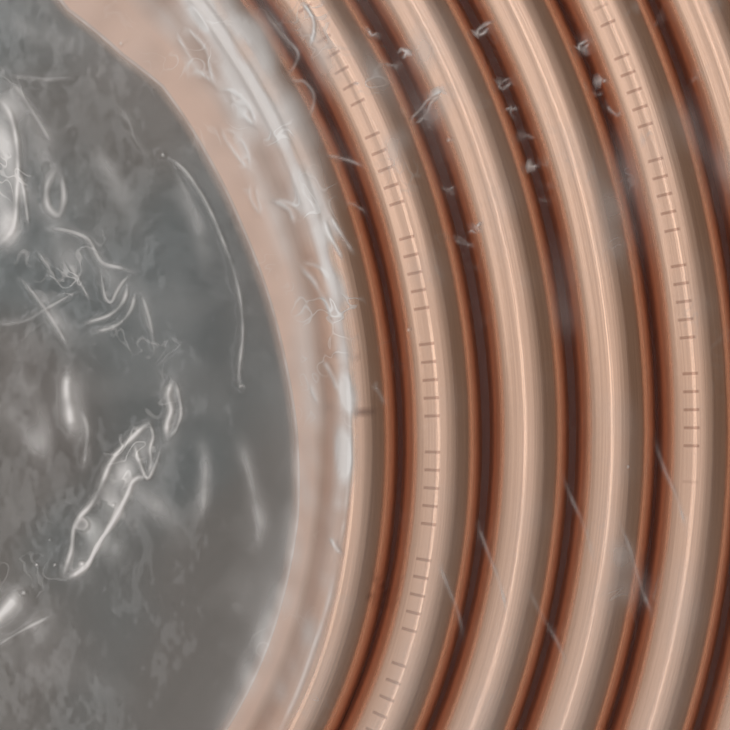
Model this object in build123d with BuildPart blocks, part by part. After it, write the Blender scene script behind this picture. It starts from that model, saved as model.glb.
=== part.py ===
from build123d import *
from math import degrees, radians, tan
import os

os.makedirs("parts", exist_ok=True)

# Driving dimensions, in millimetres and degrees
TUBE_OD = 15.88
TUBE_WALL = 1.24
TURN_GAP = 1.02
TURNS = 11
INNER_END_RADIUS = 124.55
FILM_THICKNESS = 0.3
FILM_CLEARANCE = 0.3
FILM_REACH = 4.0
FILM_MEET = 0.1
FILM_SLOPE = 30.0

# Sizes that follow from them
tube_radius = TUBE_OD / 2
pitch = TUBE_OD + TURN_GAP
half_turn_count = 2 * TURNS
film_inside = tube_radius + FILM_CLEARANCE
film_outside = film_inside + FILM_THICKNESS
mid_height = film_outside

# The tube winds outward in half turns about two centres half a pitch apart, so that each half turn
# begins where the last one ended and heads the same way. Both cut ends lie on the -X side.
front_centre = (pitch / 2, 0, 0)
back_centre = (0, 0, 0)


def half_turn_radius(index):
    return INNER_END_RADIUS + (2 * index + 1) * pitch / 4


# One tube of even wall, with a plain square cut at each end
with BuildPart() as copper_tube:
    for index in range(half_turn_count):
        is_front = index % 2 == 0
        centre = front_centre if is_front else back_centre
        side = -1 if is_front else 1
        with BuildSketch(Plane.XZ):
            with Locations((centre[0] + side * half_turn_radius(index), mid_height)):
                Circle(tube_radius)
                Circle(tube_radius - TUBE_WALL, mode=Mode.SUBTRACT)
        revolve(axis=Axis(centre, (0, 0, 1)), revolution_arc=180)
copper_tube.part.label = "copper_tube"
export_step(copper_tube.part, "parts/copper_tube.step")

# The film bag's bore is round about the innermost half turn, and its rim about the outermost one.
# The two meet at a circle midway, where both sheets are level.
bore_radius = half_turn_radius(0)
rim_radius = half_turn_radius(half_turn_count - 1)
meeting_radius = bore_radius - tube_radius - FILM_REACH
middle_radius = (bore_radius + rim_radius) / 2
overlap = pitch


# The bore's part of the space between the upper and lower sheets, which slope together in the bore
def bore_side(radius, tip_radius, mode):
    with Locations((front_centre[0] + bore_radius, mid_height)):
        inner_turn = Circle(radius, mode=Mode.PRIVATE)
    with Locations((front_centre[0] + meeting_radius, mid_height)):
        meeting_line = Circle(tip_radius, mode=Mode.PRIVATE)
    make_hull([*inner_turn.edges(), *meeting_line.edges()], mode=mode)
    level_width = middle_radius - bore_radius
    with Locations((front_centre[0] + bore_radius + level_width / 2, mid_height)):
        Rectangle(level_width, 2 * radius, mode=mode)


# The rim's part of that space, level out to the round rim
def rim_side(radius, mode):
    with Locations((rim_radius, mid_height)):
        Circle(radius, mode=mode)
    level_width = rim_radius - middle_radius + overlap
    with Locations((rim_radius - level_width / 2, mid_height)):
        Rectangle(level_width, 2 * radius, mode=mode)


# The valleys that the sheets make between the turns, on the +X side, where a front half turn goes
# over into a back one. The walls of a valley touch a circle of the given radius about each turn.
def valleys(radius, overhang, numbers, mode):
    half_width = pitch / 2 - radius * tan(radians(FILM_SLOPE / 2))
    depth = half_width * tan(radians(FILM_SLOPE))
    for number in numbers:
        x = half_turn_radius(1) + (number + 0.5) * pitch
        for up in (1, -1):
            corners = [
                (x - half_width, mid_height + up * (radius + overhang)),
                (x - half_width, mid_height + up * radius),
                (x, mid_height + up * (radius - depth)),
                (x + half_width, mid_height + up * radius),
                (x + half_width, mid_height + up * (radius + overhang)),
            ]
            Polygon(*corners, align=None, mode=mode)


valley_numbers = range(TURNS - 1)
half_ways = ((front_centre, -1, valley_numbers[0]), (back_centre, 1, valley_numbers[-1]))

# One closed bag of film. A valley that has a turn on only one side beyond a cut end stops there.
with BuildPart() as film_wrap:
    with BuildSketch(Plane.XZ):
        bore_side(film_outside, FILM_MEET + FILM_THICKNESS, Mode.ADD)
        with Locations((front_centre[0] + meeting_radius / 2, mid_height)):
            Rectangle(meeting_radius, 2 * (FILM_MEET + FILM_THICKNESS))
        bore_side(film_inside, FILM_MEET, Mode.SUBTRACT)
    revolve(axis=Axis(front_centre, (0, 0, 1)))
    with BuildSketch(Plane.XZ):
        rim_side(film_outside, Mode.ADD)
        rim_side(film_inside, Mode.SUBTRACT)
    revolve(axis=Axis.Z)
    for centre, heading, ending in half_ways:
        way = Axis(centre, (0, 0, heading))
        with BuildSketch(Plane.XZ):
            valleys(film_inside, FILM_THICKNESS / 2, valley_numbers, Mode.ADD)
        revolve(axis=way, revolution_arc=180)
        with BuildSketch(Plane.XZ):
            going_on = [number for number in valley_numbers if number != ending]
            valleys(film_outside, FILM_THICKNESS, going_on, Mode.ADD)
        revolve(axis=way, revolution_arc=180, mode=Mode.SUBTRACT)
        with BuildSketch(Plane.XZ):
            valleys(film_outside, FILM_THICKNESS, [ending], Mode.ADD)
        end_wall_arc = degrees(FILM_THICKNESS / bore_radius)
        revolve(axis=way, revolution_arc=180 - end_wall_arc, mode=Mode.SUBTRACT)
film_wrap.part.label = "film_wrap"
export_step(film_wrap.part, "parts/film_wrap.step")
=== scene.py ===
import math

import bmesh
import bpy
import numpy as np
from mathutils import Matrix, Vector


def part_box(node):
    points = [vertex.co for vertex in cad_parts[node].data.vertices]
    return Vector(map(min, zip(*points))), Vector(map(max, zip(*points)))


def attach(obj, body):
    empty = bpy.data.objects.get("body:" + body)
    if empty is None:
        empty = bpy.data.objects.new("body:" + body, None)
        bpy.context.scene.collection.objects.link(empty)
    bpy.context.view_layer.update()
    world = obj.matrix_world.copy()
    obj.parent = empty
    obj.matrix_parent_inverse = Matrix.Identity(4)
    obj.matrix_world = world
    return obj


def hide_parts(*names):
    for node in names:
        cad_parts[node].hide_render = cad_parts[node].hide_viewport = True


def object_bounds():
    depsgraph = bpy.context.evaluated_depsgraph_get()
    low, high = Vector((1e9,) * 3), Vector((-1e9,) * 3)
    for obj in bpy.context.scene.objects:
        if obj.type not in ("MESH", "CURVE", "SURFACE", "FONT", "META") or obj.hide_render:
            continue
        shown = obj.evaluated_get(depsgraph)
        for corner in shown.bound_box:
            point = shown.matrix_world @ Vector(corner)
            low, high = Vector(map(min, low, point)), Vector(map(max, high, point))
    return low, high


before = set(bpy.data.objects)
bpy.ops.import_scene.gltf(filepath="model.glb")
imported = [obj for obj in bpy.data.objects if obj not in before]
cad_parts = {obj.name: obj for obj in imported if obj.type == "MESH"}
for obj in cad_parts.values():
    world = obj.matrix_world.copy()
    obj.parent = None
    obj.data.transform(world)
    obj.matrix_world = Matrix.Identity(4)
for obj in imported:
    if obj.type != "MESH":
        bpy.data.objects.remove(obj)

MM = 0.001
FULL_TURN = 2 * math.pi
TINY = 1e-9
cad_low, cad_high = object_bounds()
tube_low, tube_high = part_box("copper_tube")

# The tube and the way it winds, in metres: half turns about two centres half a pitch apart
TURNS = 11
PITCH = 16.9 * MM
TUBE_RADIUS = (tube_high[2] - tube_low[2]) / 2
TUBE_WALL = 1.24 * MM
MID_HEIGHT = (tube_high[2] + tube_low[2]) / 2
INNER_END_RADIUS = 124.55 * MM
START_ANGLE = math.pi

# How far each turn lies outward of an even winding on the +X side, in mm, from the inner end on
TURN_OFFSETS = [0.0, -0.1, -0.3, 0.3, 0.8, 0.4, 0.6, 0.2, 0.5, 0.1, 0.3, 0.0]

# Where the inner turns were pushed outward: after how many turns, and how far, in mm
PUSHED_OUT = [(0.43, 1.9), (1.44, 1.3), (2.45, 0.5)]
PUSHED_LENGTH = 0.05

# The camera looks straight down on a stretch of the +X side
VIEW_CENTRE = Vector((138.7, 12.9, 12.0)) * MM
VIEW_WIDTH = 144.8 * MM
VIEW_DISTANCE = 0.6
SENSOR = 36.0


def add_object(name, data):
    made = bpy.data.objects.new(name, data)
    bpy.context.scene.collection.objects.link(made)
    return made


def half_turn_number(turn_angle):
    return np.floor(turn_angle / math.pi + TINY)


def winding_radius(turn_angle):
    """Distance of the tube's centreline from the centre of its half turn"""
    turns_done = turn_angle / FULL_TURN
    offsets = np.interp(turns_done + 0.5, np.arange(len(TURN_OFFSETS)), TURN_OFFSETS) * MM
    for turns, distance in PUSHED_OUT:
        away = (turns_done - turns) / PUSHED_LENGTH
        offsets = offsets + distance * MM * np.exp(-(away**2))
    return INNER_END_RADIUS + (2 * half_turn_number(turn_angle) + 1) * PITCH / 4 + offsets


def winding_point(turn_angle):
    """The centreline, by the angle that the tube has turned through from its inner end"""
    centre_x = np.where(half_turn_number(turn_angle) % 2 == 0, PITCH / 2, 0.0)
    radius = winding_radius(turn_angle)
    angle = START_ANGLE + turn_angle
    return centre_x + radius * np.cos(angle), radius * np.sin(angle)


# Shader maths as expressions
class Wire:
    """One output of a shader node, which expressions turn into Math nodes"""

    def __init__(self, shader, socket):
        self.shader = shader
        self.socket = socket

    def math(self, operation, *values):
        return self.shader.node("ShaderNodeMath", {"operation": operation}, *values)

    def __add__(self, other):
        return self.math("ADD", self, other)

    def __sub__(self, other):
        return self.math("SUBTRACT", self, other)

    def __mul__(self, other):
        return self.math("MULTIPLY", self, other)

    def __truediv__(self, other):
        return self.math("DIVIDE", self, other)

    def __radd__(self, other):
        return self.math("ADD", other, self)

    def __rsub__(self, other):
        return self.math("SUBTRACT", other, self)

    def __rmul__(self, other):
        return self.math("MULTIPLY", other, self)

    def __pow__(self, other):
        return self.math("POWER", self, other)

    def absolute(self):
        return self.math("ABSOLUTE", self)

    def fraction(self):
        return self.math("FRACT", self)

    def between(self, low, high):
        """0 below low, 1 above high, smooth in between"""
        return self.shader.node(
            "ShaderNodeMapRange",
            {"interpolation_type": "SMOOTHSTEP", "clamp": True},
            Value=self,
            **{"From Min": low, "From Max": high},
        )

    def within(self, start, end, soft):
        """1 between start and end, and 0 outside, with a soft step after each of them"""
        return self.between(start, start + soft) * (1.0 - self.between(end, end + soft))


# A Mix node has sockets of the same name for each kind of data, so its colours go by number
MIX_FIRST, MIX_SECOND, MIX_RESULT = 6, 7, 2


class Shader:
    """The node tree of one material or of the world"""

    def __init__(self, owner):
        owner.use_nodes = True
        self.nodes = owner.node_tree.nodes
        self.links = owner.node_tree.links
        self.nodes.clear()

    def feed(self, socket, value):
        if isinstance(value, Wire):
            self.links.new(value.socket, socket)
        else:
            socket.default_value = value

    def node(self, kind, settings=None, *values, out=0, **named):
        """A node with its settings, with what goes into it by number and by name. It gives the
        output that is asked for, by number or name."""
        made = self.nodes.new(kind)
        for name, value in (settings or {}).items():
            setattr(made, name, value)
        for number, value in enumerate(values):
            self.feed(made.inputs[number], value)
        for name, value in named.items():
            self.feed(made.inputs[name], value)
        return Wire(self, made.outputs[out]) if made.outputs else None

    def attribute(self, name, out="Fac"):
        return self.node("ShaderNodeAttribute", {"attribute_name": name}, out=out)

    def noise(self, place, scale, detail, roughness=0.55, distortion=0.0):
        return self.node(
            "ShaderNodeTexNoise",
            None,
            Vector=place,
            Scale=scale,
            Detail=detail,
            Roughness=roughness,
            Distortion=distortion,
        )

    def bump(self, height, strength, distance):
        return self.node(
            "ShaderNodeBump", None, Height=height, Strength=strength, Distance=distance
        )

    def surface(self, colour, roughness, **more):
        given = {"Base Color": colour, "Roughness": roughness, **more}
        return self.node("ShaderNodeBsdfPrincipled", None, **given)

    def mix_colour(self, factor, one, two):
        settings = {"data_type": "RGBA"}
        mixed = self.node("ShaderNodeMix", settings, Factor=factor, out=MIX_RESULT)
        inputs = mixed.socket.node.inputs
        self.feed(inputs[MIX_FIRST], one)
        self.feed(inputs[MIX_SECOND], two)
        return mixed

    def mix(self, factor, one, two):
        return self.node("ShaderNodeMixShader", None, factor, one, two)

    def finish(self, shader, output="ShaderNodeOutputMaterial"):
        self.node(output, None, Surface=shader)


def grey(level):
    return (level, level, level, 1)


# The copper: the colours and relief of the fine lines drawn along it, its roughness on top, and
# how much rougher it is down its sides
COPPER_IN_LINES, COPPER_BETWEEN_LINES = (0.6, 0.39, 0.285, 1), (0.89, 0.62, 0.47, 1)
LINE_SCALE, LINE_STRETCH = 24.0, 1.2
LINE_RELIEF, LINE_STRENGTH = 0.2 * MM, 0.1
TOP_ROUGHNESS, SIDE_ROUGHNESS = 0.16, 0.2
SIDE_STARTS, SIDE_ENDS = 0.3, 0.75

# Plain ticks across it, in groups. Each one's start, end and soft edge are shares of the spacing
# along the tube, and of the radius across it. A group fades out between two shares of its length.
TICK_COLOUR, TICK_STRENGTH = (0.3, 0.13, 0.08, 1), 0.55
TICK_SPACING, TICK_GROUP = 3.6 * MM, 21.6 * MM
TICK_ALONG, TICK_ACROSS = (0.03, 0.2, 0.06), (0.06, 0.44, 0.04)
GROUP_ENDS = (0.82, 0.84)


def copper_material():
    material = bpy.data.materials.new("bright_copper")
    shader = Shader(material)
    around = shader.attribute("around", "Vector")
    along, ticked = shader.attribute("along"), shader.attribute("ticked")
    lengthwise = shader.node("ShaderNodeCombineXYZ", None, 0.0, 0.0, along * LINE_STRETCH)
    place = shader.node("ShaderNodeVectorMath", {"operation": "ADD"}, around, lengthwise)
    lines = shader.noise(place, LINE_SCALE, 2.0, roughness=0.6)
    colour = shader.mix_colour(lines, COPPER_IN_LINES, COPPER_BETWEEN_LINES)

    sideways = shader.node("ShaderNodeSeparateXYZ", None, around) * -1.0
    tick = (along / TICK_SPACING).fraction().within(*TICK_ALONG) * sideways.within(*TICK_ACROSS)
    tick = tick * (1.0 - (along / TICK_GROUP).fraction().between(*GROUP_ENDS)) * ticked
    colour = shader.mix_colour(TICK_STRENGTH * tick, colour, TICK_COLOUR)

    down_the_side = (sideways * sideways).between(SIDE_STARTS, SIDE_ENDS)
    roughness = TOP_ROUGHNESS + SIDE_ROUGHNESS * down_the_side
    relief = shader.bump(lines, LINE_STRENGTH, LINE_RELIEF)
    shader.finish(shader.surface(colour, roughness, Metallic=1.0, Normal=relief))
    return material


# What the film's mesh tells its material at each place
LOOKS = ("painted_shine", "crease_shade", "haze_and_sheen", "painted_copper_light", "crinkle", "double", "valley")

# What shows through the film: everything, or a smoky tint where two sheets lie together, greyer in
# some places and browner in others, or a dark one in its creases, which is painted shade
CLEAR, CREASE_SHADE_TINT = grey(1.0), (0.42, 0.32, 0.29, 1)
SMOKY_GREY, SMOKY_BROWN = (0.785, 0.81, 0.815, 1), (0.81, 0.795, 0.78, 1)

# What the film's mirroring is tinted by over the turns, in the bore and between the turns: the
# copper tint over the turns paints copper light into it, and the dark red one between the turns
# paints shade
COPPER_LIT_TURNS_GLOSS, BORE_GLOSS, SHADED_VALLEY_GLOSS = (1.0, 0.8, 0.69, 1), grey(1.0), (0.3, 0.09, 0.06, 1)
GLOSS_ROUGHNESS = 0.07

# How much it mirrors where it is seen straight on, and the share of that which it keeps at most
STRAIGHT_ON, MOST_MIRRORED = 0.04, 0.95

# Painted copper light that the film takes on down the slope and between the turns, in place of
# light reflected from the copper: how much of it, the colour and the roughness
COPPER_LIGHT_PAINTED_ON_SLOPE = (0.8, (0.95, 0.7, 0.58, 1), 0.35)
PAINTED_VALLEY_GLOW = (0.08, (0.85, 0.24, 0.14, 1), 0.5)

# Its milk, which also paints highlights: the colour, the roughness of its glossy part, how much of
# it is dull, and how much of it the haze with its painted sheen, the painted shine of the folds
# and the painted glints of the crinkles take
MILK_LEVEL, MILK_ROUGHNESS, MILK_DULLNESS = grey(0.95), 0.38, 0.65
HAZE_AND_SHEEN_SHARE, PAINTED_FOLD_SHINE, PAINTED_CRINKLE_GLINT = 0.82, 0.85, 0.55

# The sizes of its patterns, as noise scales, and the depth of its unevenness
CRINKLE_SCALE, PATCH_SCALE, TINT_SCALE, UNEVEN_SCALE = 150.0, 90.0, 24.0, 160.0
CRINKLE_SHARPNESS = 26.0
UNEVEN_STRENGTH, UNEVEN_DEPTH = 0.35, 0.6 * MM


def film_material():
    material = bpy.data.materials.new("clear_film")
    shader = Shader(material)
    mix = shader.mix
    place = shader.node("ShaderNodeTexCoord", None, out="Object")
    painted_shine, crease_shade, haze_and_sheen, painted_copper_light, crinkle, double, valley = map(shader.attribute, LOOKS)

    # painted glints: thin lines where a noise crosses its middle, in patches where it is crinkled
    wander = shader.noise(place, CRINKLE_SCALE, 1.0, distortion=1.2) - 0.5
    line = (1.0 - wander.absolute() * CRINKLE_SHARPNESS).between(0.0, 1.0)
    patch = shader.noise(place, PATCH_SCALE, 1.0).between(0.52, 0.68)
    painted_glint = line * patch * crinkle

    # the film mirrors more where it is seen at a slant, and is a little uneven all over
    height = shader.noise(place, UNEVEN_SCALE, 2.0)
    uneven = shader.bump(height, UNEVEN_STRENGTH, UNEVEN_DEPTH)
    slant = shader.node("ShaderNodeLayerWeight", None, out="Facing", Blend=0.5, Normal=uneven)
    mirrored = STRAIGHT_ON + (1 - STRAIGHT_ON) * slant**5

    def glossy(colour, roughness=GLOSS_ROUGHNESS):
        return shader.node(
            "ShaderNodeBsdfGlossy", None, Color=colour, Roughness=roughness, Normal=uneven
        )

    def seen_through(colour):
        return shader.node("ShaderNodeBsdfTransparent", None, Color=colour)

    browner = shader.noise(place, TINT_SCALE, 1.0).between(0.4, 0.6)
    smoky = mix(browner, seen_through(SMOKY_GREY), seen_through(SMOKY_BROWN))
    clear = mix(double, seen_through(CLEAR), smoky)
    # a dark tint in the creases: painted shade
    clear = mix(crease_shade, clear, seen_through(CREASE_SHADE_TINT))
    # the film's mirroring: tinted copper over the turns as painted copper light, and dark red
    # between the turns as painted shade
    gloss = mix(double, glossy(COPPER_LIT_TURNS_GLOSS), glossy(BORE_GLOSS))
    gloss = mix(valley, gloss, glossy(SHADED_VALLEY_GLOSS))
    sheet = mix(MOST_MIRRORED * mirrored, clear, gloss)
    # painted copper light down the slope, and a painted copper glow between the turns
    for where, (share, colour, roughness) in ((painted_copper_light, COPPER_LIGHT_PAINTED_ON_SLOPE), (valley, PAINTED_VALLEY_GLOW)):
        sheet = mix(share * where, sheet, shader.surface(colour, roughness, Normal=uneven))

    # folds, crinkles and milky places take a white that is lit from above whichever way they
    # slope: painted shine, glints and sheen, and in the milky places partly the film's own milk
    upward = shader.node("ShaderNodeCombineXYZ", None, 0.0, 0.0, 1.0)
    white = shader.surface(MILK_LEVEL, 0.5, Normal=upward)
    milk_and_painted_light = mix(MILK_DULLNESS, glossy(MILK_LEVEL, MILK_ROUGHNESS), white)
    milk_and_light_share = HAZE_AND_SHEEN_SHARE * haze_and_sheen + PAINTED_FOLD_SHINE * painted_shine + PAINTED_CRINKLE_GLINT * painted_glint
    shader.finish(mix(milk_and_light_share, sheet, milk_and_painted_light))
    return material


FLOOR_COLOUR, FLOOR_ROUGHNESS = (0.44, 0.45, 0.455, 1), 0.8


def floor_material():
    material = bpy.data.materials.new("pale_floor")
    shader = Shader(material)
    shader.finish(shader.surface(FLOOR_COLOUR, FLOOR_ROUGHNESS))
    return material


# The tube: its centreline as a line of points, swept by Geometry Nodes into a smooth tube
SECTIONS_A_TURN = 200
TUBE_SIDES = 40
END_BORE_DEPTH = 40 * MM
END_BORE_STEPS = 6

# Where it has ticks: from and to how many turns after its inner end
TICKED_TURNS = [(1.41, 1.6), (4.49, 4.57), (7.2, 7.3), (9.7, 9.78)]


def sweep_tree(material):
    tree = bpy.data.node_groups.new("swept_tube", "GeometryNodeTree")
    inputs = (
        ("Centreline", "NodeSocketGeometry"),
        ("Radius", "NodeSocketFloat"),
        ("Sides", "NodeSocketInt"),
    )
    for name, kind in inputs:
        tree.interface.new_socket(name, in_out="INPUT", socket_type=kind)
    tree.interface.new_socket("Tube", in_out="OUTPUT", socket_type="NodeSocketGeometry")

    def node(kind, settings=None, **named):
        made = tree.nodes.new(kind)
        for name, value in (settings or {}).items():
            setattr(made, name, value)
        for name, value in named.items():
            socket = made.inputs[name]
            if isinstance(value, bpy.types.NodeSocket):
                tree.links.new(value, socket)
            else:
                socket.default_value = value
        return made

    def stored(kind, geometry, name, value):
        settings = {"data_type": kind, "domain": "POINT"}
        return node(
            "GeometryNodeStoreNamedAttribute", settings, Geometry=geometry, Name=name, Value=value
        )

    given = node("NodeGroupInput")
    path = node("GeometryNodeMeshToCurve", Mesh=given.outputs["Centreline"])
    level = node("GeometryNodeSetCurveNormal", {"mode": "Z_UP"}, Curve=path.outputs["Curve"])
    length_done = node("GeometryNodeSplineParameter").outputs["Length"]
    marked = stored("FLOAT", level.outputs[0], "along", length_done)
    ring = node(
        "GeometryNodeCurvePrimitiveCircle",
        Resolution=given.outputs["Sides"],
        Radius=given.outputs["Radius"],
    )
    place = node("GeometryNodeInputPosition")
    direction = node("ShaderNodeVectorMath", {"operation": "NORMALIZE"}, Vector=place.outputs[0])
    rim = stored("FLOAT_VECTOR", ring.outputs["Curve"], "around", direction.outputs[0])
    tube = node(
        "GeometryNodeCurveToMesh",
        Curve=marked.outputs[0],
        **{"Profile Curve": rim.outputs[0]},
    )
    smooth = node("GeometryNodeSetShadeSmooth", Geometry=tube.outputs[0])
    real = node("GeometryNodeRealizeInstances", Geometry=smooth.outputs[0])
    dressed = node("GeometryNodeSetMaterial", Geometry=real.outputs[0], Material=material)
    out = node("NodeGroupOutput")
    tree.links.new(dressed.outputs[0], out.inputs["Tube"])
    return tree


def plain_mesh(piece, name):
    """The evaluated object as a mesh with no modifier"""
    piece.modifiers.update()
    depsgraph = bpy.context.evaluated_depsgraph_get()
    mesh = bpy.data.meshes.new_from_object(piece.evaluated_get(depsgraph))
    mesh.name = name
    piece.modifiers.clear()
    piece.data = mesh
    return mesh


def make_tube(material):
    count = TURNS * SECTIONS_A_TURN
    turn_angle = np.linspace(0, TURNS * FULL_TURN, count + 1)
    x, y = winding_point(turn_angle)
    points = np.column_stack([x, y, np.full_like(x, MID_HEIGHT)])
    line = bpy.data.meshes.new("centreline")
    line.from_pydata(points.tolist(), [(i, i + 1) for i in range(count)], [])
    piece = add_object("copper_tube_coil", line)
    sweep = piece.modifiers.new("sweep", "NODES")
    sweep.node_group = sweep_tree(material)
    sockets = {s.name: s.identifier for s in sweep.node_group.interface.items_tree}
    sweep[sockets["Radius"]] = TUBE_RADIUS
    sweep[sockets["Sides"]] = TUBE_SIDES
    mesh = plain_mesh(piece, "copper_tube_coil")

    steps = np.linalg.norm(np.diff(points, axis=0), axis=1)
    length_done = np.concatenate([[0], np.cumsum(steps)])
    along = np.zeros(len(mesh.vertices))
    mesh.attributes["along"].data.foreach_get("value", along)
    turns_done = np.interp(along, length_done, turn_angle / FULL_TURN)
    ticked = sum((turns_done > first) & (turns_done < last) for first, last in TICKED_TURNS)
    layer = mesh.attributes.new("ticked", "FLOAT", "POINT")
    layer.data.foreach_set("value", ticked.astype(float))
    open_tube_ends(mesh, points)
    return piece


def end_stations(points, end, heading):
    """Places along the centreline from one end of it, at even steps into the bore"""
    index, reach = end, 0.0
    stations = [Vector(points[end])]
    for step in range(1, END_BORE_STEPS + 1):
        while reach < END_BORE_DEPTH * step / END_BORE_STEPS:
            here, following = Vector(points[index]), Vector(points[index + heading])
            reach += (following - here).length
            index += heading
        if Vector(points[index]) != stations[-1]:
            stations.append(Vector(points[index]))
    return stations


def open_tube_ends(mesh, points):
    """Gives both cut ends their wall and a length of bore, closed at its far end"""
    bm = bmesh.new()
    bm.from_mesh(mesh)
    inner_radius = TUBE_RADIUS - TUBE_WALL
    for end, heading in ((0, 1), (-1, -1)):
        stations = end_stations(points, end, heading)
        previous, radius = stations[0], TUBE_RADIUS
        ring = [
            vert
            for vert in bm.verts
            if vert.is_boundary and (vert.co - previous).length < 2 * TUBE_RADIUS
        ]
        for place in stations:
            share = inner_radius / radius
            inner = [bm.verts.new(place + (vert.co - previous) * share, vert) for vert in ring]
            for i in range(len(ring)):
                face = bm.faces.new((ring[i - 1], ring[i], inner[i], inner[i - 1]))
                face.smooth = True
            ring, previous, radius = inner, place, inner_radius
        bm.faces.new(ring)
    bmesh.ops.recalc_face_normals(bm, faces=bm.faces)
    bm.to_mesh(mesh)
    bm.free()


# The film: a closed bag over the turns, with its two sheets together in the bore
FILM_STANDS_OFF = 0.2 * MM
HUG_ANGLE = math.radians(42)
SHEET_GAP = 0.4 * MM
BRIDGE_ANGLE = math.radians(26)
WINDING_CENTRE = PITCH / 4
film_radius = TUBE_RADIUS + FILM_STANDS_OFF

# Stations along its section, from the middle of the bore out to the rim: the bore, the slope, the
# shoulder of the inner turn, a span from each crest to the next one, and half of the rim
SLOPE_STARTS, SHOULDER_STARTS, FIRST_CREST = 1, 2, 3
LAST_CREST = FIRST_CREST + TURNS + 1
RIM_MIDDLE = LAST_CREST + 1

# The grid that the film starts from: steps in the bore and places in each span for each sheet,
# and the rows' turn angles, closer together on the side that the camera sees
UPPER_BORE_STEPS, UPPER_SHARES = 33, (0.16, 0.32, 0.5, 0.68, 0.84, 1.0)
LOWER_BORE_STEPS, LOWER_SHARES = 8, (0.32, 0.5, 0.68, 1.0)
CLOSE_ROWS = np.radians(np.arange(138, 240, 1.5))
ROWS_BEFORE, ROWS_AFTER = 46, 41

# Steps that its faces in view are cut into, and then those by a fold or where the sheets meet
VIEW_STEPS, FOLD_STEPS = 3, 4
VIEW_MARGIN = 2 * MM
LEAST_FOLD, LEAST_SHINE = 0.06, 0.12

# How far it stays inside the CAD box, and how near together its vertices count as one
INSIDE_BOX = 0.05 * MM
MERGE_DISTANCE = 0.02 * MM

# How far inside the innermost turn's crest the sheets meet, in mm, by degrees from +X
MEETING_REACH = [
    (-180, 13.5), (-90, 12.5), (-45, 12.0), (-30, 11.6), (-19, 11.4), (-8, 11.2), (0, 12.2),
    (7, 13.6), (20, 15.8), (28, 16.6), (36, 17.2), (41, 19.8), (48, 21.6), (60, 18.0),
    (90, 14.5), (180, 13.5),
]


def ridge(turn_angle, number):
    """The centreline under a crest of the film. The first and last crests leave the turns to run
    down to the cut ends."""
    turns_before = np.clip(number - 1, 0, TURNS - 1)
    x, y = winding_point(turn_angle + FULL_TURN * turns_before)
    for is_bridge, left, step in (
        (number < 0.5, FULL_TURN - turn_angle, -1),
        (number > TURNS + 0.5, turn_angle, 1),
    ):
        share = np.where(is_bridge, np.clip(1 - left / BRIDGE_ANGLE, 0, 1) ** 1.5, 0)
        end_x, end_y = winding_point(turn_angle + FULL_TURN * (turns_before + step))
        x, y = x + (end_x - x) * share, y + (end_y - y) * share
    return x, y


def sag(x, half):
    """Depth of the film below the crests, at a distance x from the nearer one"""
    contact = np.minimum(film_radius * math.sin(HUG_ANGLE), 0.6 * half)
    slope = contact / np.sqrt(film_radius**2 - contact**2)
    on_turn = film_radius - np.sqrt(film_radius**2 - np.minimum(x, contact) ** 2)
    return on_turn + slope * np.maximum(x - contact, 0)


def film_points(turn_angle, station, side):
    """Places on the even film, before it is wrinkled"""
    first_x, first_y = ridge(turn_angle, np.zeros_like(station))
    reach_x = first_x - WINDING_CENTRE
    inner = np.hypot(reach_x, first_y)
    out_x, out_y = reach_x / inner, first_y / inner
    direction = np.degrees(np.arctan2(first_y, reach_x))
    meeting = inner - MM * np.interp(direction, *zip(*MEETING_REACH))

    # inside the first crest
    half_gap = SHEET_GAP / 2
    tip_distance = np.hypot(inner - meeting, half_gap)
    touch = np.arctan2(half_gap, meeting - inner) - np.arccos(film_radius / tip_distance)
    touch_r = inner + film_radius * np.cos(touch)
    touch_z = film_radius * np.sin(touch)
    share = np.clip(station, 0, 1)
    r, z = meeting * share, np.full_like(share, half_gap)
    share = np.clip(station - SLOPE_STARTS, 0, 1)
    r, z = r + (touch_r - meeting) * share, z + (touch_z - half_gap) * share
    around = touch + (math.pi / 2 - touch) * np.clip(station - SHOULDER_STARTS, 0, 1)
    on_shoulder = station > SHOULDER_STARTS
    r = np.where(on_shoulder, inner + film_radius * np.cos(around), r)
    z = np.where(on_shoulder, film_radius * np.sin(around), z)
    x, y = WINDING_CENTRE + out_x * r, out_y * r

    # from crest to crest
    number = np.clip(np.floor(station - FIRST_CREST + TINY), 0, TURNS)
    share = np.clip(station - FIRST_CREST - number, 0, 1)
    near_x, near_y = ridge(turn_angle, number)
    far_x, far_y = ridge(turn_angle, number + 1)
    width = np.hypot(far_x - near_x, far_y - near_y)
    depth = sag(np.minimum(share, 1 - share) * width, width / 2 + TINY)
    spanning = station > FIRST_CREST
    x = np.where(spanning, near_x + (far_x - near_x) * share, x)
    y = np.where(spanning, near_y + (far_y - near_y) * share, y)
    z = np.where(spanning, film_radius - depth, z)

    # down the rim
    last_x, last_y = ridge(turn_angle, np.full_like(station, TURNS + 1.0))
    last = np.hypot(last_x, last_y)
    around = math.pi / 2 * (1 - np.clip(station - LAST_CREST, 0, 1))
    on_rim = station > LAST_CREST
    r = last + film_radius * np.cos(around)
    x = np.where(on_rim, last_x / last * r, x)
    y = np.where(on_rim, last_y / last * r, y)
    z = np.where(on_rim, film_radius * np.sin(around), z)
    return x, y, MID_HEIGHT + side * z
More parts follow.
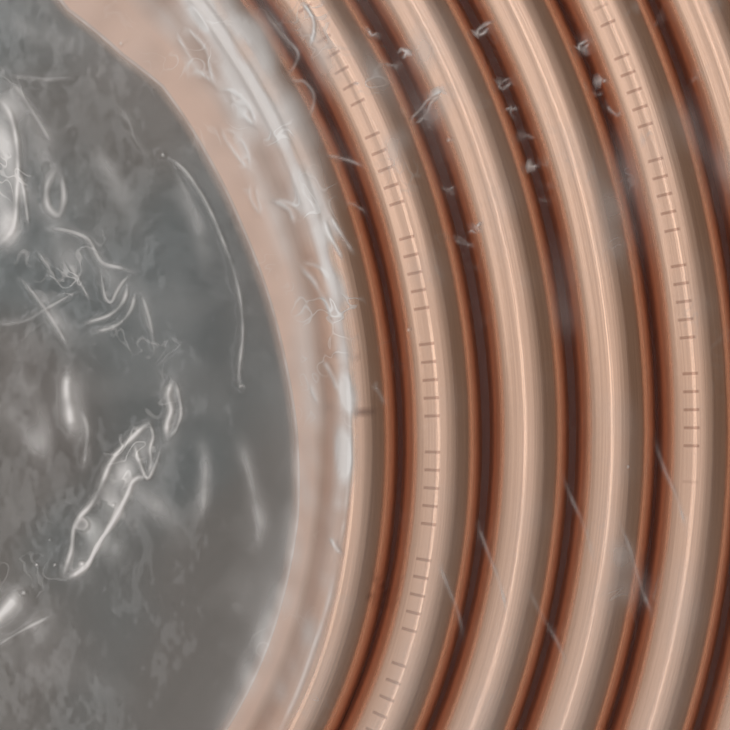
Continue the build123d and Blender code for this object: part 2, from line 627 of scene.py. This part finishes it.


# Folds that stand up from the film, by the camera's picture of them, which is 730 wide and high:
# half width and height in mm, then the points that each one runs through. The height also sets how
# bright a painted shine each fold gets.
PICTURE = 730
FOLDS_IN_BORE = [
    (0.55, 0.45, [(160, 154), (173, 160), (187, 173), (201, 194), (213, 217), (222, 239),
                  (230, 260)]),
    (0.55, 0.45, [(230, 260), (236, 280), (240, 299), (242, 320), (242, 340), (239, 366),
                  (239, 389)]),
    (0.7, 0.35, [(-6, 96), (6, 108), (13, 130), (16, 160), (15, 190), (12, 226), (-3, 244)]),
    (0.5, 0.3, [(17, 168), (22, 190), (27, 228)]),
    (0.8, 0.3, [(55, 168), (45, 184), (46, 205), (57, 214), (62, 198), (60, 176), (54, 168)]),
    (0.6, 0.3, [(46, 228), (66, 230), (86, 238), (94, 252), (102, 263), (118, 267), (133, 272)]),
    (0.6, 0.35, [(80, 324), (93, 320), (106, 316), (117, 308), (124, 297), (126, 284)]),
    (0.6, 0.3, [(92, 331), (106, 329), (117, 324), (127, 314), (132, 303), (134, 290)]),
    (0.5, 0.25, [(99, 268), (101, 283), (104, 297), (110, 302), (115, 292), (122, 281),
                 (131, 273)]),
    (0.6, 0.2, [(139, 290), (145, 307), (150, 327), (154, 354)]),
    (0.5, 0.2, [(-4, 324), (23, 321), (47, 307), (75, 291)]),
    (0.5, 0.25, [(18, 277), (30, 291), (43, 308), (56, 328), (68, 350)]),
    (0.45, 0.2, [(36, 251), (45, 264), (55, 280)]),
    (0.45, 0.2, [(65, 260), (76, 278), (89, 301)]),
    (1.2, 0.4, [(66, 372), (65, 390), (68, 410), (70, 430)]),
    (0.7, 0.2, [(80, 410), (86, 430), (84, 452), (82, 470)]),
    (0.7, 0.5, [(149, 423), (139, 430), (129, 440), (118, 451), (109, 464), (103, 478),
                (97, 492)]),
    (0.7, 0.5, [(97, 492), (89, 506), (78, 518), (72, 530), (70, 550), (65, 566), (61, 577)]),
    (0.7, 0.5, [(149, 478), (138, 478), (131, 483), (126, 495), (119, 509), (110, 525),
                (100, 539)]),
    (0.7, 0.5, [(100, 539), (93, 552), (86, 566), (76, 574), (66, 579)]),
    (0.5, 0.4, [(148, 423), (152, 436), (149, 449), (150, 462), (147, 477)]),
    (0.5, 0.4, [(133, 444), (137, 458), (146, 479), (154, 466), (159, 450)]),
    (0.8, 0.45, [(172, 380), (167, 395), (170, 410), (166, 424), (166, 438)]),
    (0.5, 0.3, [(174, 381), (178, 396), (180, 414), (175, 430), (168, 438)]),
    (1.4, 0.4, [(-8, 622), (3, 612), (14, 598)]),
    (0.5, 0.25, [(-6, 648), (12, 637), (30, 627), (50, 617)]),
    (0.7, 0.12, [(242, 448), (250, 476), (256, 505), (259, 530), (259, 556)]),
    (0.7, 0.1, [(206, 452), (204, 480), (203, 505), (200, 528)]),
    (0.6, 0.12, [(116, 102), (127, 118), (134, 138), (144, 150), (153, 155)]),
    (0.6, 0.1, [(170, 165), (184, 188), (196, 214), (202, 240)]),
    (0.6, 0.14, [(5, 74), (22, 76), (46, 78), (74, 76)]),
    (0.7, 0.14, [(8, 75), (22, 96), (38, 122), (52, 146)]),
]
FOLDS_ON_TURNS = [
    (0.5, 0.3, [(178, 30), (179, 38), (186, 50), (194, 64), (202, 74), (210, 80), (217, 88)]),
    (0.5, 0.3, [(181, 26), (190, 32), (200, 42), (207, 52), (210, 66), (213, 78), (218, 88)]),
    (0.5, 0.3, [(190, 8), (198, 16), (205, 27), (210, 37)]),
    (0.5, 0.3, [(219, 91), (230, 91), (242, 99), (252, 112), (258, 128)]),
    (0.5, 0.25, [(230, 94), (236, 104), (246, 118), (257, 128)]),
    (0.5, 0.3, [(221, 128), (226, 140), (235, 153), (243, 163), (250, 171)]),
    (0.5, 0.25, [(222, 129), (233, 132), (244, 144), (249, 157), (250, 170)]),
    (0.5, 0.25, [(249, 184), (250, 197), (255, 207), (262, 216)]),
    (0.5, 0.25, [(256, 186), (258, 198), (262, 214)]),
    (0.7, 0.35, [(273, 201), (282, 205), (290, 212), (294, 224)]),
    (0.6, 0.25, [(274, 200), (288, 203), (299, 210), (303, 220)]),
    (0.7, 0.35, [(299, 263), (305, 272), (313, 281), (320, 293), (327, 306), (332, 318)]),
    (0.6, 0.25, [(302, 263), (315, 266), (324, 272), (330, 281)]),
    (0.5, 0.38, [(330, 215), (336, 226), (344, 238), (354, 254)]),
    (0.5, 0.38, [(325, 222), (330, 236), (338, 250), (344, 262)]),
    (0.7, 0.35, [(323, 360), (329, 370), (334, 380), (338, 392)]),
    (0.5, 0.2, [(310, 384), (313, 394), (318, 403)]),
    (0.5, 0.2, [(374, 384), (380, 394), (385, 404)]),
    (0.5, 0.38, [(330, 536), (335, 545), (341, 552)]),
    (0.6, 0.18, [(346, 362), (349, 400), (350, 440), (348, 480), (344, 520), (338, 556)]),
    (0.6, 0.2, [(338, 556), (331, 590), (322, 622), (312, 650), (300, 684), (286, 716),
                (278, 735)]),
    (0.5, 0.25, [(268, 14), (276, 26), (285, 38), (296, 50), (298, 58), (294, 68), (288, 78)]),
    (0.5, 0.25, [(288, 78), (296, 82), (304, 82), (313, 92), (314, 104), (310, 118)]),
    (0.5, 0.38, [(300, 4), (308, 12), (314, 24), (313, 38), (308, 48)]),
    (0.4, 0.25, [(326, 156), (338, 158), (350, 161), (364, 168)]),
    (0.4, 0.2, [(346, 202), (356, 206), (366, 212)]),
    (0.38, 0.5, [(368, 30), (372, 36), (378, 34)]),
    (0.38, 0.45, [(397, 55), (401, 50), (406, 54), (402, 59)]),
    (0.35, 0.3, [(384, 64), (392, 66), (401, 65)]),
    (0.36, 0.4, [(446, 89), (438, 94), (427, 101), (419, 111), (412, 119), (414, 124)]),
    (0.36, 0.3, [(414, 124), (421, 120), (427, 112), (431, 103), (440, 97)]),
    (0.35, 0.3, [(441, 187), (447, 190), (454, 187)]),
    (0.35, 0.4, [(468, 233), (474, 229), (480, 223)]),
    (0.35, 0.32, [(454, 239), (462, 243), (471, 245)]),
    (0.35, 0.25, [(457, 236), (464, 241), (469, 248)]),
    (0.38, 0.5, [(492, 23), (485, 25), (479, 29), (477, 34), (482, 34), (489, 28)]),
    (0.38, 0.5, [(512, 79), (504, 81), (499, 86), (502, 89), (507, 86), (512, 81)]),
    (0.35, 0.5, [(505, 110), (511, 109), (517, 109)]),
    (0.3, 0.4, [(511, 105), (511, 110), (510, 115)]),
    (0.4, 0.2, [(515, 140), (521, 136), (528, 136), (534, 140)]),
    (0.35, 0.5, [(524, 167), (530, 166), (537, 167)]),
    (0.35, 0.15, [(538, 201), (543, 200), (549, 202)]),
    (0.38, 0.5, [(590, 39), (584, 42), (579, 46), (579, 50), (585, 48), (589, 43)]),
    (0.35, 0.4, [(594, 82), (600, 81), (606, 82)]),
    (0.35, 0.25, [(592, 92), (597, 95), (602, 93)]),
    (0.4, 0.3, [(606, 106), (611, 112), (617, 116), (620, 111)]),
    (0.35, 0.1, [(623, 20), (630, 12), (640, 6)]),
    (0.35, 0.1, [(650, 34), (656, 24), (664, 16)]),
    (0.35, 0.1, [(690, 84), (698, 74), (708, 66)]),
    (0.35, 0.12, [(636, 150), (642, 140), (650, 132)]),
    (0.35, 0.1, [(706, 16), (714, 8), (722, 4)]),
    (0.5, 0.16, [(476, 520), (486, 548), (498, 580), (506, 612)]),
    (0.5, 0.16, [(528, 588), (540, 612), (556, 640), (566, 664)]),
    (0.5, 0.16, [(438, 560), (448, 586), (458, 612), (464, 642)]),
    (0.5, 0.16, [(560, 470), (572, 500), (584, 528), (592, 560)]),
    (0.5, 0.16, [(618, 520), (630, 552), (640, 584), (652, 616)]),
    (0.5, 0.16, [(654, 440), (664, 470), (676, 500), (684, 532)]),
]

# Sharp creases that show dark, as painted shade, and last two broad and faint dark places: half
# width in mm, how dark, and the points that each one runs through
CREASES = [
    (0.4, 0.7, [(207, 118), (222, 119), (238, 121), (250, 126), (260, 132)]),
    (0.4, 0.8, [(232, 166), (240, 178), (250, 182), (262, 184), (280, 189), (292, 194),
                (303, 203)]),
    (0.4, 0.5, [(247, 187), (251, 200), (257, 210), (263, 216)]),
    (0.4, 0.6, [(272, 257), (286, 258), (300, 257), (312, 258), (326, 258)]),
    (0.4, 0.7, [(303, 341), (314, 347), (327, 352), (342, 354), (358, 356)]),
    (0.4, 0.7, [(311, 401), (322, 406), (338, 410), (354, 411), (374, 411)]),
    (0.4, 0.6, [(178, 24), (186, 36), (196, 56), (210, 74)]),
    (0.4, 0.5, [(240, 128), (246, 142), (252, 156), (254, 170)]),
    (0.4, 0.5, [(372, 572), (384, 590), (388, 606)]),
    (0.4, 0.4, [(366, 590), (376, 600), (386, 604)]),
    (0.4, 0.5, [(330, 538), (336, 546), (342, 552)]),
    (9.0, 0.16, [(10, 350), (40, 400), (60, 460)]),
    (6.0, 0.12, [(196, 250), (214, 310), (216, 370)]),
]

# Trapped bubbles and blisters: the centre in the picture, then half width and height in mm. Each
# gets a painted shine, a ring on a big one and a spot on a small one.
BUBBLES = [
    (81, 526, 1.5, 0.5), (80, 565, 0.8, 0.4), (53, 566, 0.6, 0.35), (22, 594, 0.8, 0.4),
    (112, 506, 0.6, 0.3), (48, 541, 0.55, 0.3), (35, 566, 0.55, 0.3), (162, 154, 0.8, 0.5),
    (120, 42, 0.6, 0.3), (240, 386, 0.7, 0.4), (448, 141, 0.8, 0.4), (408, 330, 0.7, 0.4),
    (626, 466, 0.5, 0.3), (401, 52, 0.6, 0.4),
]

# Milky places in the film, partly its own milk and partly painted sheen, such as the broad one
# along the inner turn's crest: half width in mm, strength, and the points that each one runs
# through
HAZE_AND_SHEEN = [
    (5.0, 0.6, [(205, -10), (235, 30), (262, 70)]),
    (2.8, 1.7, [(190, -10), (222, 40), (250, 84), (274, 130), (298, 180), (320, 236)]),
    (1.2, 0.4, [(214, -10), (244, 36), (270, 80), (294, 130), (314, 180), (334, 236)]),
    (1.2, 0.35, [(160, -10), (196, 34), (222, 70), (244, 106)]),
    (1.6, 2.1, [(320, 236), (335, 290), (343, 340), (345, 400), (344, 450), (340, 500)]),
    (2.0, 0.5, [(336, 500), (328, 550), (318, 600), (300, 650), (276, 700), (262, 735)]),
    (2.6, 0.5, [(140, -6), (176, 30), (214, 84), (244, 136), (266, 190), (284, 250)]),
    (2.6, 0.55, [(284, 250), (298, 310), (306, 370), (308, 430), (304, 490), (294, 550)]),
    (2.6, 0.5, [(294, 550), (278, 610), (256, 664), (232, 712), (220, 740)]),
    (3.0, 0.9, [(-6, 106), (3, 140), (6, 180), (3, 220), (-4, 240)]),
    (5.5, 0.35, [(-10, 90), (20, 140), (48, 190), (70, 225)]),
    (3.0, 0.3, [(30, 250), (80, 262), (120, 284), (138, 300)]),
    (2.4, 0.35, [(40, 300), (70, 330), (104, 338)]),
    (2.6, 0.45, [(68, 376), (67, 404), (74, 440)]),
    (2.1, 1.0, [(143, 446), (128, 466), (113, 490), (99, 516), (86, 544), (74, 568)]),
    (3.6, 0.4, [(160, 440), (140, 490), (116, 530), (90, 576)]),
    (1.4, 0.5, [(174, 388), (170, 410), (168, 434)]),
    (2.2, 0.8, [(-8, 622), (4, 612), (14, 600)]),
    (3.0, 0.25, [(-8, 650), (26, 634), (60, 610)]),
    (2.6, 0.25, [(0, 400), (24, 430), (34, 470)]),
    (4.0, 0.42, [(612, 150), (620, 190), (622, 230), (618, 262)]),
    (2.6, 0.4, [(676, 108), (692, 130), (712, 160), (724, 200)]),
    (2.6, 0.5, [(614, 546), (626, 570), (637, 594)]),
    (2.2, 0.3, [(556, 250), (562, 290), (566, 330)]),
    (2.0, 0.3, [(410, 30), (424, 52), (434, 66)]),
    (1.8, 0.4, [(446, 96), (438, 110), (430, 122)]),
    (2.4, 0.4, [(350, 40), (366, 60), (376, 90)]),
    (2.0, 0.5, [(398, 140), (396, 154), (392, 166)]),
    (3.0, 0.3, [(300, 20), (316, 50), (330, 84)]),
    (6.0, 0.6, [(190, -30), (236, 30), (280, 100), (316, 170)]),
    (0.9, 0.5, [(149, 423), (129, 440), (109, 464), (97, 492), (78, 518), (70, 550)]),
    (0.9, 0.5, [(138, 478), (126, 495), (110, 525), (93, 552), (76, 574)]),
    (1.4, 0.45, [(0, 96), (14, 130), (16, 180), (8, 236)]),
    (1.6, 0.3, [(96, 150), (120, 190), (140, 240)]),
    (1.6, 0.3, [(178, 190), (196, 220), (208, 262)]),
    (1.4, 0.35, [(201, 440), (204, 476), (198, 520)]),
    (1.4, 0.35, [(240, 440), (254, 490), (262, 540)]),
    (2.2, 0.25, [(152, 500), (166, 518), (176, 548)]),
    (2.0, 0.25, [(20, 380), (40, 420), (44, 460)]),
    (8.0, 0.16, [(360, -40), (400, 60), (440, 160)]),
    (2.0, 0.25, [(0, 20), (40, 34), (90, 40)]),
]

# Where it is finely crinkled and gets painted glints, told the same way
CRINKLES = [
    (9.0, 0.8, [(150, -20), (210, 50), (262, 130), (300, 215), (330, 300), (345, 390)]),
    (6.0, 0.3, [(300, -20), (350, 60), (410, 140), (440, 210)]),
    (8.0, 0.5, [(0, 60), (20, 160), (60, 260), (120, 330)]),
    (8.0, 0.5, [(150, 400), (110, 480), (60, 560), (10, 620)]),
]


def on_film(picture_x, picture_y):
    """The place on the film under a point of the camera's picture"""
    size = VIEW_WIDTH / PICTURE
    x = VIEW_CENTRE.x + (picture_x - PICTURE / 2) * size
    y = VIEW_CENTRE.y - (picture_y - PICTURE / 2) * size
    return np.array([x, y])


def smooth_line(points, steps=4):
    """More points on a line, along a smooth curve through the given ones"""
    given = np.array([points[0], *points, points[-1]], dtype=float)
    share = np.arange(steps)[:, None] / steps
    curve = []
    for before, start, end, after in zip(given, given[1:], given[2:], given[3:]):
        bend = 2 * before - 5 * start + 4 * end - after
        twist = 3 * (start - end) + after - before
        curve.append(start + 0.5 * share * (end - before + share * (bend + share * twist)))
    return [*np.concatenate(curve), given[-1]]


# How much of a line is left at its ends, and over which share of its length it comes to the rest
END_AMOUNT, END_SHARE = 0.35, 0.25


def along_line(x, y, points, half_width):
    """How much of a soft line each place gets: 1 on it, and less to its sides and at its ends"""
    points = [on_film(*point) for point in smooth_line(points)]
    amount = np.zeros_like(x)
    total = sum(np.linalg.norm(b - a) for a, b in zip(points, points[1:]))
    done = 0.0
    reach = 3 * half_width
    for start, end in zip(points, points[1:]):
        run = end - start
        length = np.linalg.norm(run)
        low, high = np.minimum(start, end) - reach, np.maximum(start, end) + reach
        near = np.flatnonzero((x > low[0]) & (x < high[0]) & (y > low[1]) & (y < high[1]))
        from_x, from_y = x[near] - start[0], y[near] - start[1]
        share = np.clip((from_x * run[0] + from_y * run[1]) / length**2, 0, 1)
        away = np.hypot(from_x - share * run[0], from_y - share * run[1])
        from_end = np.minimum(done + share * length, total - done - share * length)
        taper = np.clip(END_AMOUNT + from_end / (END_SHARE * total + TINY), 0, 1)
        amount[near] = np.maximum(amount[near], taper * np.exp(-((away / half_width) ** 2)))
        done += length
    return amount


def along_lines(x, y, lines, varied=1.0):
    amount = np.zeros_like(x)
    for half_width, strength, points in lines:
        amount += strength * along_line(x, y, points, half_width * MM) * varied
    return amount


# The patterns of hills and hollows, each by its size and its seed
BROAD_SWELL, SMALL_SWELL, CRUMPLE = (34 * MM, 3), (15 * MM, 5), (6 * MM, 11)
PATCHES, SMALL_PATCHES = (22 * MM, 21), (7 * MM, 22)
MOTTLED, BROKEN, STREAKS = (9 * MM, 23), (4 * MM, 24), (5 * MM, 25)
HILL_CELLS = 64


def hills(x, y, size, seed):
    """Smooth random heights between about -1 and 1, with a hill or hollow about every size"""
    turns = np.random.default_rng(seed).uniform(0, FULL_TURN, (HILL_CELLS, HILL_CELLS))
    cell_x, cell_y = np.floor(x / size), np.floor(y / size)
    part_x, part_y = x / size - cell_x, y / size - cell_y

    def slope_from(step_x, step_y):
        row, column = (cell_x + step_x).astype(int), (cell_y + step_y).astype(int)
        turn = turns[row % HILL_CELLS, column % HILL_CELLS]
        return np.cos(turn) * (part_x - step_x) + np.sin(turn) * (part_y - step_y)

    fade_x = part_x**3 * (part_x * (part_x * 6 - 15) + 10)
    fade_y = part_y**3 * (part_y * (part_y * 6 - 15) + 10)
    near = slope_from(0, 0) * (1 - fade_x) + slope_from(1, 0) * fade_x
    far = slope_from(0, 1) * (1 - fade_x) + slope_from(1, 1) * fade_x
    return 1.6 * (near * (1 - fade_y) + far * fade_y)


def share_in_bore(station):
    """1 in the bore and at the start of the slope, and 0 further out"""
    return np.clip((SLOPE_STARTS + 0.6 - station) / 0.8, 0, 1)


def folds(x, y, station):
    """How high the folds and bubbles stand at each place, in mm, and how bright a painted shine
    they get
    """
    in_bore = share_in_bore(station)
    height, painted_shine = np.zeros_like(x), np.zeros_like(x)
    for lines, amount in ((FOLDS_IN_BORE, in_bore), (FOLDS_ON_TURNS, 1.0)):
        for half_width, rise, points in lines:
            line = amount * along_line(x, y, points, half_width * MM)
            height += rise * line
            # a painted shine along each fold
            painted_shine = np.maximum(painted_shine, min(1.0, 2.1 * rise) * (0.72 * line**3 + 0.28 * line))
    for picture_x, picture_y, half_width, rise in BUBBLES:
        bubble_x, bubble_y = on_film(picture_x, picture_y)
        away = np.hypot(x - bubble_x, y - bubble_y) / (half_width * MM)
        height += rise * np.sqrt(np.clip(1 - away**2, 0, 1))
        # a painted shine on each bubble: a ring on a big one, a spot on a small one
        brightest = 0.85 if half_width > 1 else 0.0
        painted_shine = np.maximum(painted_shine, 0.8 * np.exp(-(((away - brightest) / 0.4) ** 2)))
    return height, painted_shine


def film_relief(x, y, station, height):
    """How far the upper sheet stands above its even shape: wide swells in the bore, crumples, the
    swollen shoulder of the inner turn, and the folds"""
    in_bore = share_in_bore(station)
    swells = 0.9 * hills(x, y, *BROAD_SWELL) + 0.35 * hills(x, y, *SMALL_SWELL)
    swells = swells * in_bore * np.clip(1.3 - station, 0, 1) ** 0.5
    crumple = 0.1 * hills(x + 0.4 * y, y - 0.4 * x, *CRUMPLE) * (0.35 + 0.65 * in_bore)
    shoulder = 0.9 * np.exp(-(((station - 2.45) / 0.42) ** 2))
    shoulder = shoulder * np.clip(4 * (FIRST_CREST - station), 0, 1)
    return (swells + np.maximum(crumple + shoulder + height, -0.1)) * MM


# The painted copper light down the slope and over the shoulder of the inner turn, by station
SLOPE_LIGHT_STATIONS = [(0.985, 0), (1.015, 1), (1.45, 1), (1.75, 0.55), (2.5, 0.5), (2.9, 0)]


def film_looks(x, y, station, painted_shine):
    """How bright the painted shine of the folds is, how dark the painted shade in the creases is,
    how milky the film is with its painted sheen, how much painted copper light it gets on the
    slope, how crinkled it is, whether it lies double, and whether it lies in a valley between
    turns, each from 0 to 1"""
    double = np.clip((SLOPE_STARTS - station) / 0.02, 0, 1)
    on_turns = np.clip((station - 1.9) / 1.1, 0, 1)
    between_turns = (station > FIRST_CREST + 1) & (station < LAST_CREST - 1)
    from_crest = np.where(between_turns, np.minimum(station % 1, 1 - station % 1), 0.0)
    crest = np.clip((0.36 - from_crest) / 0.26, 0, 1)
    mottled = 0.85 + 0.45 * hills(x + y, y - x, *MOTTLED)
    broken = np.clip(0.8 + 0.6 * hills(x, y, *BROKEN), 0.4, 1)
    patches = np.clip(hills(x, y, *PATCHES) + 0.4 * hills(x, y, *SMALL_PATCHES), 0, 1)
    streaks = 0.7 + 0.9 * hills(x + 0.5 * y, 0.35 * (y - 0.5 * x), *STREAKS)
    streaks = np.clip(streaks, 0.35, 1.3)

    # a thin haze over the turns, partly milk and partly painted sheen, more of it at the left and
    # towards both ends of the view
    right = np.clip(x - VIEW_CENTRE.x, -VIEW_WIDTH / 2, VIEW_WIDTH / 2)
    up = np.clip(y - VIEW_CENTRE.y, -VIEW_WIDTH / 2, VIEW_WIDTH / 2)
    thin_haze_and_sheen = np.clip(0.06 + 1.6 * abs(up) - 0.9 * up - 0.7 * right, 0.02, 0.22) * on_turns
    haze_and_sheen = (thin_haze_and_sheen + 0.12 * patches) * crest + along_lines(x, y, HAZE_AND_SHEEN, mottled * streaks)
    # a painted highlight along the line where the sheets meet
    meeting = 0.4 * np.exp(-(((station - SLOPE_STARTS) / 0.003) ** 2))
    # painted copper light down the slope
    painted_copper_light = np.interp(station, *zip(*SLOPE_LIGHT_STATIONS)) * (0.75 + 0.25 * mottled)
    crinkle = 0.04 + 0.16 * patches + along_lines(x, y, CRINKLES)
    valley = on_turns * np.clip((from_crest - 0.24) / 0.2, 0, 1)
    painted_shine = np.maximum(painted_shine, meeting) * broken
    looks = (painted_shine, along_lines(x, y, CREASES), haze_and_sheen, painted_copper_light, crinkle, double, valley)
    return [np.clip(amount, 0, 1) for amount in looks]


def film_angles():
    before = np.linspace(0, CLOSE_ROWS[0], ROWS_BEFORE + 1)[:-1]
    after = np.linspace(CLOSE_ROWS[-1], FULL_TURN, ROWS_AFTER + 1)[1:]
    return np.concatenate([before, CLOSE_ROWS, after])


def film_stations(bore_steps, span_shares):
    inside = list(np.linspace(0, 1, bore_steps + 1) ** 0.8)
    slope = [1.33, 1.67, 2.0, 2.33, 2.67, 3.0]
    spans = [FIRST_CREST + n + share for n in range(TURNS + 1) for share in span_shares]
    rim = [LAST_CREST + share for share in (0.25, 0.5, 0.75)]
    return np.array(inside + slope + spans + rim)


# What the mesh carries while it is made: the turn angle, the station and the side, which is 1 on
# the upper sheet and -1 on the lower one
GIVEN = ("turn_angle", "station", "side")


def film_grid(bm):
    """The even film in rows of four-sided faces"""
    angles = film_angles()
    upper = film_stations(UPPER_BORE_STEPS, UPPER_SHARES)
    lower = film_stations(LOWER_BORE_STEPS, LOWER_SHARES)
    stations = np.concatenate([upper, [RIM_MIDDLE], lower[::-1]])
    sides = np.concatenate([np.ones(len(upper) + 1), -np.ones(len(lower))])
    rows, columns = len(angles), len(stations)
    layers = [bm.verts.layers.float.new(name) for name in GIVEN]
    grid = np.column_stack(
        [np.repeat(angles, columns), np.tile(stations, rows), np.tile(sides, rows)]
    )
    places = np.column_stack(film_points(*grid.T))
    verts = []
    for place, given in zip(places.tolist(), grid.tolist()):
        vert = bm.verts.new(place)
        for layer, value in zip(layers, given):
            vert[layer] = value
        verts.append(vert)
    for row in range(rows - 1):
        for k in range(row * columns, (row + 1) * columns - 1):
            bm.faces.new((verts[k], verts[k + columns], verts[k + columns + 1], verts[k + 1]))
    return layers


def upper_faces_in_view(bm, layers):
    """The upper sheet's faces that the camera sees, with their middles and lowest stations"""
    half_view = VIEW_WIDTH / 2 + VIEW_MARGIN
    _, station_layer, side_layer = layers
    faces, told = [], []
    for face in bm.faces:
        middle = face.calc_center_median()
        off = middle - VIEW_CENTRE
        in_view = abs(off.x) <= half_view and abs(off.y) <= half_view
        if in_view and min(vert[side_layer] for vert in face.verts) >= 0:
            faces.append(face)
            told.append((middle.x, middle.y, min(vert[station_layer] for vert in face.verts)))
    return faces, np.array(told).T


def cut_up(bm, faces, chosen, steps):
    """Cuts each chosen face into that many steps each way"""
    edges = {edge for face, is_chosen in zip(faces, chosen) if is_chosen for edge in face.edges}
    bmesh.ops.subdivide_edges(bm, edges=list(edges), cuts=steps - 1, use_grid_fill=True)


def refine(bm, layers):
    """Finer faces in view, and still finer ones by the folds and where the sheets meet"""
    faces, (x, y, station) = upper_faces_in_view(bm, layers)
    cut_up(bm, faces, station > 0.2, VIEW_STEPS)
    faces, (x, y, station) = upper_faces_in_view(bm, layers)
    height, painted_shine = folds(x, y, station)
    by_a_fold = (height > LEAST_FOLD) | (painted_shine > LEAST_SHINE)
    by_the_meeting = abs(station - SLOPE_STARTS + 0.004) < 0.012
    cut_up(bm, faces, by_a_fold | by_the_meeting, FOLD_STEPS)


def wrinkle(bm, layers):
    """Moves every vertex to its place on the wrinkled film, tells it how the film looks there, and
    keeps the edges sharp along the middles of the valleys and where the sheets meet"""
    bm.verts.ensure_lookup_table()
    given = np.array([[vert[layer] for layer in layers] for vert in bm.verts])
    turn_angle, station, side = given.T
    x, y, z = film_points(turn_angle, station, side)
    height, painted_shine = folds(x, y, station)
    z = z + np.where(side > 0, film_relief(x, y, station, height), 0)
    z = np.clip(z, cad_low[2] + INSIDE_BOX, cad_high[2] - INSIDE_BOX)
    looks = film_looks(x, y, station, painted_shine)
    for name, amount in zip(LOOKS, looks):
        if name not in ("double", "valley"):
            amount[side < 0] = 0.0
    look_layers = [bm.verts.layers.float.new(name) for name in LOOKS]
    told = zip(bm.verts, np.column_stack([x, y, z]).tolist(), np.column_stack(looks).tolist())
    for vert, place, amounts in told:
        vert.co = place
        for layer, amount in zip(look_layers, amounts):
            vert[layer] = amount

    sharp = (station > FIRST_CREST) & (station < LAST_CREST) & (abs(station % 1 - 0.5) < 1e-3)
    sharp &= abs(z - MID_HEIGHT) < film_radius - 1 * MM
    sharp |= abs(station - SLOPE_STARTS) < 1e-4
    for edge in bm.edges:
        edge.smooth = not all(sharp[vert.index] for vert in edge.verts)
    for face in bm.faces:
        face.smooth = True


def make_film(material):
    bm = bmesh.new()
    layers = film_grid(bm)
    refine(bm, layers)
    wrinkle(bm, layers)
    bmesh.ops.remove_doubles(bm, verts=bm.verts, dist=MERGE_DISTANCE)
    bmesh.ops.recalc_face_normals(bm, faces=bm.faces)
    mesh = bpy.data.meshes.new("clear_film_wrap")
    bm.to_mesh(mesh)
    bm.free()
    mesh.materials.append(material)
    return add_object("clear_film_wrap", mesh)


FLOOR_REACH = 8.0


def make_floor(material):
    mesh = bpy.data.meshes.new("floor")
    far = FLOOR_REACH
    corners = [(-far, -far, 0), (far, -far, 0), (far, far, 0), (-far, far, 0)]
    mesh.from_pydata(corners, [], [(0, 1, 2, 3)])
    mesh.materials.append(material)
    floor = add_object("floor", mesh)


# Lamps that shine straight down: name, radiance, the angles off the zenith that each fills from
# left to right, and from where to where it reaches in Y from over the view's centre, in metres
PANELS = [
    ("wide_panel", 0.17, -83, 38, -2.6, 2.6),
    ("second_panel", 0.18, -76, 23, -2.2, 2.2),
    ("third_panel", 0.13, -58, 13, -1.6, 1.6),
    ("inner_panel", 0.07, -36, 8, -1.2, 1.2),
    ("lower_panel", 0.36, -64, -27, -1.6, -0.14),
    ("upper_panel", 0.36, -18, 14, 0.09, 0.9),
    ("bright_strip", 0.95, -14.6, -9.6, -1.2, 1.2),
]

# Each hangs a step above the last one, because lamps at one height lose light in reflections
PANEL_HEIGHT = 1.0
PANEL_STEP = 10 * MM
WORLD_LEVEL, BACKDROP_LEVEL = (0.19, 0.152, 0.126, 1), grey(0.9)


def area_light(name, radiance, place, size):
    """A lamp as bright as a surface of that radiance, which the camera doesn't see"""
    lamp = bpy.data.lights.new(name, "AREA")
    lamp.shape = "RECTANGLE"
    lamp.size, lamp.size_y = size
    lamp.energy = radiance * math.pi * size[0] * size[1]
    light = add_object(name, lamp)
    light.location = place
    light.visible_camera = False


def light_the_scene():
    for number, (name, radiance, first, last, lower, upper) in enumerate(PANELS):
        height = PANEL_HEIGHT + number * PANEL_STEP
        left, right = (
            VIEW_CENTRE.x + height * math.tan(math.radians(angle)) for angle in (first, last)
        )
        place = ((left + right) / 2, VIEW_CENTRE.y + (lower + upper) / 2, height)
        area_light(name, radiance, place, (right - left, upper - lower))
    world = bpy.data.worlds.new("studio")
    bpy.context.scene.world = world
    shader = Shader(world)
    seen_directly = shader.node("ShaderNodeLightPath", None, out="Is Camera Ray")
    level = shader.mix_colour(seen_directly, WORLD_LEVEL, BACKDROP_LEVEL)
    light = shader.node("ShaderNodeBackground", None, Color=level, Strength=1.0)
    shader.finish(light, "ShaderNodeOutputWorld")


def set_the_camera():
    data = bpy.data.cameras.new("camera")
    data.sensor_width = SENSOR
    data.lens = SENSOR * VIEW_DISTANCE / VIEW_WIDTH
    camera = add_object("camera", data)
    camera.location = VIEW_CENTRE + Vector((0, 0, VIEW_DISTANCE))
    camera.rotation_euler = (0, 0, 0)
    bpy.context.scene.camera = camera


tube = make_tube(copper_material())
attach(tube, "root")
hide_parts("copper_tube")

film = make_film(film_material())
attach(film, "root")
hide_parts("film_wrap")

make_floor(floor_material())
light_the_scene()
set_the_camera()
bpy.context.scene.view_settings.view_transform = "Standard"
